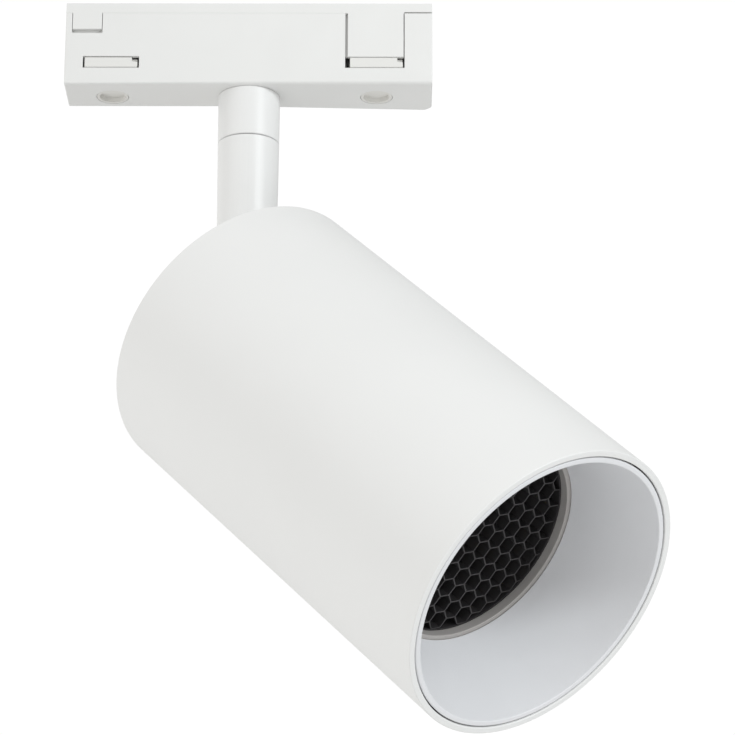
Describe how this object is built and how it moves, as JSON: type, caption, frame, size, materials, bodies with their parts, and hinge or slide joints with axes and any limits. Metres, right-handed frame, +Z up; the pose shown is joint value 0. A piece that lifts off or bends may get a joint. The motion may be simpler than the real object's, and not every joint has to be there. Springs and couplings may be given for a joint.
{
  "type": "track spotlight",
  "caption": "Cylindrical spotlight with a honeycomb louvre in a tapered snoot, on a short stem that pans and tilts under a slim low-voltage track adapter.",
  "frame": {"origin": "on the pan axis, in the adapter's top face, which seats against the track", "axes": "+Z up, out of the top face into the track; X along the adapter and the track; -Y is the adapter's front, where the lock tongues come out"},
  "size_m": [0.1578, 0.1305, 0.21],
  "materials": {
    "adapter_white": "satin moulded",
    "contact_brass": "bright",
    "board_green": "solder mask",
    "component_black": "matt",
    "wire_sheath": "satin",
    "zinc_steel": "zinc plated",
    "coat_white": "white satin coat",
    "cast_grey": "as machined",
    "key_white": "satin moulded",
    "tongue_beige": "satin moulded",
    "washer_nylon": "natural",
    "grommet_rubber": "matt",
    "phosphor_yellow": "matt",
    "holder_white": "moulded",
    "mirror_bright": "mirror coated",
    "ring_black": "matt",
    "lens_glass": "clear",
    "louvre_black": "matt black coat",
    "ring_grey": "matt",
    "snoot_white": "matt moulded",
    "spring_steel": "plain"
  },
  "bodies": {
    "adapter": {"adapter_housing": "adapter_white", "contact_carrier": "adapter_white", "contact_blade_front": "contact_brass", "contact_blade_rear": "contact_brass", "driver_board": "board_green", "driver_parts": "component_black", "feed_wires": "wire_sheath", "housing_screws": "zinc_steel", "stem_collar": "coat_white", "hollow_nipple": "zinc_steel", "nipple_washer": "zinc_steel", "nipple_nut": "zinc_steel", "pan_washer": "zinc_steel", "pan_nut": "zinc_steel", "pan_stop_pin": "zinc_steel"},
    "arm": {"swivel_arm": "coat_white", "hinge_knuckle": "cast_grey", "knuckle_screw": "zinc_steel", "arm_wires": "wire_sheath"},
    "head": {"barrel_shell": "coat_white", "rear_cap": "coat_white", "cap_screws": "zinc_steel", "hinge_pin": "zinc_steel", "hinge_nut": "zinc_steel", "friction_washers": "washer_nylon", "cable_grommet": "grommet_rubber", "heat_sink": "cast_grey", "led_board": "cast_grey", "led_emitter": "phosphor_yellow", "led_holder": "holder_white", "led_screws": "zinc_steel", "reflector": "mirror_bright", "optic_ring": "ring_black", "lens": "lens_glass", "lens_gasket": "grommet_rubber", "honeycomb_louvre": "louvre_black", "louvre_ring": "ring_grey", "snoot": "snoot_white", "snoot_clips": "spring_steel", "head_wires": "wire_sheath"},
    "key_left": {"lock_key_left": "key_white"},
    "tongue_left": {"lock_tongue_left": "tongue_beige"},
    "key_right": {"lock_key_right": "key_white"},
    "tongue_right": {"lock_tongue_right": "tongue_beige"}
  },
  "joints": [
    {"name": "pan", "type": "hinge", "parent": "adapter", "child": "arm", "pos_m": [0, 0, -0.0382], "axis": [0, 0, 1], "range_deg": [-216.8, 113.2]},
    {"name": "tilt", "type": "hinge", "parent": "arm", "child": "head", "pos_m": [0, 0, -0.0948], "axis": [-0.6181, -0.7861, 0], "range_deg": [-48.36, 26.64]},
    {"name": "key_turn_left", "type": "hinge", "parent": "adapter", "child": "key_left", "pos_m": [-0.0374, -0.0002, -0.023], "axis": [0, 0, -1], "range_deg": [0, 90]},
    {"name": "tongue_slide_left", "type": "slide", "parent": "adapter", "child": "tongue_left", "axis": [0, -1, 0], "range_m": [0, 0.002]},
    {"name": "key_turn_right", "type": "hinge", "parent": "adapter", "child": "key_right", "pos_m": [0.0348, -0.0002, -0.023], "axis": [0, 0, -1], "range_deg": [0, 90]},
    {"name": "tongue_slide_right", "type": "slide", "parent": "adapter", "child": "tongue_right", "axis": [0, -1, 0], "range_m": [0, 0.002]}
  ],
  "couplings": [
    {"joint": "key_turn_left", "follows": "tongue_slide_left", "rad_per_m": 785.39},
    {"joint": "key_turn_right", "follows": "tongue_slide_right", "rad_per_m": 785.39}
  ]
}
